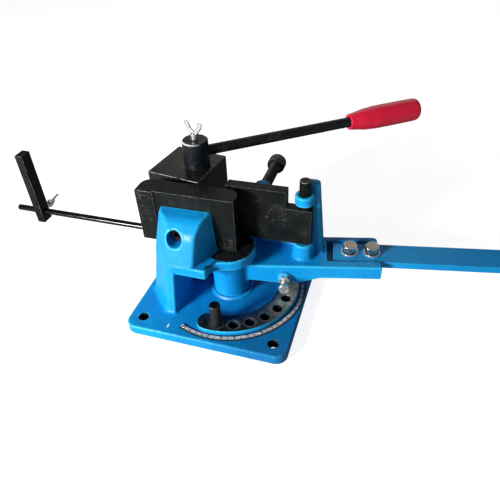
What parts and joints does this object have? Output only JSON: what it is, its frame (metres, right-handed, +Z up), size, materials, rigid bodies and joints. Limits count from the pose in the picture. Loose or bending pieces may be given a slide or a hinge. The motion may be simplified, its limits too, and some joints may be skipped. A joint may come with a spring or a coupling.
{
  "type": "universal bench bar bender",
  "caption": "Hand-worked bench bar bender: fixed die with eccentric clamp, swing arm with adjustable bending plate, angle stop holes and a sliding length stop.",
  "frame": {"origin": "centre of the rectangle of bench bolt holes, on the base plate's underside", "axes": "+Z up, +X to the right along the jaws, -Y towards the user"},
  "size_m": [0.9385, 0.409, 0.2372],
  "materials": {
    "blue_enamel": "gloss",
    "lever_enamel": "gloss",
    "black_oxide": "satin",
    "black_rod": "gloss",
    "red_grip": "gloss",
    "bright_zinc": "bright",
    "yellow_zinc": "bright",
    "bearing_bronze": "satin",
    "scale_strip": "satin"
  },
  "bodies": {
    "base": {"base_casting": "blue_enamel", "angle_scale": "scale_strip", "scale_rivets": "bright_zinc", "pivot_pin": "black_oxide", "pivot_screws": "black_oxide", "thrust_washer": "bearing_bronze", "front_die": "black_oxide", "front_die_screw": "black_oxide", "die_dowels": "bright_zinc", "stop_rod": "black_rod"},
    "arm": {"swing_arm": "blue_enamel", "pivot_bushes": "bearing_bronze", "lever_bar": "lever_enamel", "lever_bolts": "yellow_zinc", "lever_washers": "bright_zinc", "lever_spring_washers": "bright_zinc", "lever_nuts": "yellow_zinc", "stop_lock_nut": "yellow_zinc"},
    "bending_plate": {"bending_plate": "black_oxide"},
    "bending_pin": {"bending_pin": "black_oxide"},
    "adjusting_screw": {"adjusting_screw": "black_oxide"},
    "stop_screw": {"stop_screw": "yellow_zinc"},
    "clamp_lever": {"clamp_shaft": "black_oxide", "clamp_lever_rod": "black_rod", "clamp_grip": "red_grip", "clamp_washer": "bright_zinc", "clamp_nut": "bright_zinc"},
    "clamp_block": {"clamp_block": "black_oxide"},
    "clamp_wing_screw": {"clamp_wing_screw": "bright_zinc"},
    "stop_bar": {"stop_bar": "black_oxide"},
    "stop_wing_screw": {"stop_wing_screw": "bright_zinc"},
    "stop_pin": {"stop_pin": "black_oxide"}
  },
  "joints": [
    {"name": "arm_swing", "type": "hinge", "parent": "base", "child": "arm", "pos_m": [0.0065, -0.0015, 0.047], "axis": [0, 0, 1], "range_deg": [-62, 5]},
    {"name": "plate_swing", "type": "hinge", "parent": "arm", "child": "bending_plate", "pos_m": [0.1039, 0.0335, 0.12], "axis": [0, 0, 1], "range_deg": [-4.95, 3]},
    {"name": "adjusting_screw_feed", "type": "slide", "parent": "arm", "child": "adjusting_screw", "axis": [0, -1, 0], "range_m": [-0.0055, 0.0033]},
    {"name": "bending_pin_lift", "type": "slide", "parent": "arm", "child": "bending_pin", "axis": [0, 0, 1], "range_m": [0, 0.06]},
    {"name": "stop_screw_feed", "type": "slide", "parent": "arm", "child": "stop_screw", "axis": [0.2215, -0.9751, 0], "range_m": [-0.004, 0.003]},
    {"name": "stop_pin_lift", "type": "slide", "parent": "base", "child": "stop_pin", "axis": [0, 0, 1], "range_m": [0, 0.03]},
    {"name": "clamp_lever_turn", "type": "hinge", "parent": "base", "child": "clamp_lever", "pos_m": [-0.0607, 0.0692, 0.1], "axis": [0, 0, 1], "range_deg": [-30, 60]},
    {"name": "clamp_block_slide", "type": "slide", "parent": "base", "child": "clamp_block", "axis": [0, 1, 0], "range_m": [-0.0024, 0.0048]},
    {"name": "clamp_wing_turn", "type": "hinge", "parent": "clamp_lever", "child": "clamp_wing_screw", "pos_m": [-0.0607, 0.0692, 0.21], "axis": [0, 0, 1], "continuous": true},
    {"name": "length_stop_slide", "type": "slide", "parent": "base", "child": "stop_bar", "axis": [1, 0, 0], "range_m": [-0.03, 0.16]},
    {"name": "length_stop_wing_turn", "type": "hinge", "parent": "stop_bar", "child": "stop_wing_screw", "pos_m": [-0.2995, 0.015, 0.099], "axis": [0, 1, 0], "continuous": true}
  ],
  "couplings": [
    {"joint": "plate_swing", "follows": "adjusting_screw_feed", "rad_per_m": 15.41},
    {"joint": "clamp_block_slide", "follows": "clamp_lever_turn", "m_per_rad": 0.0045}
  ]
}
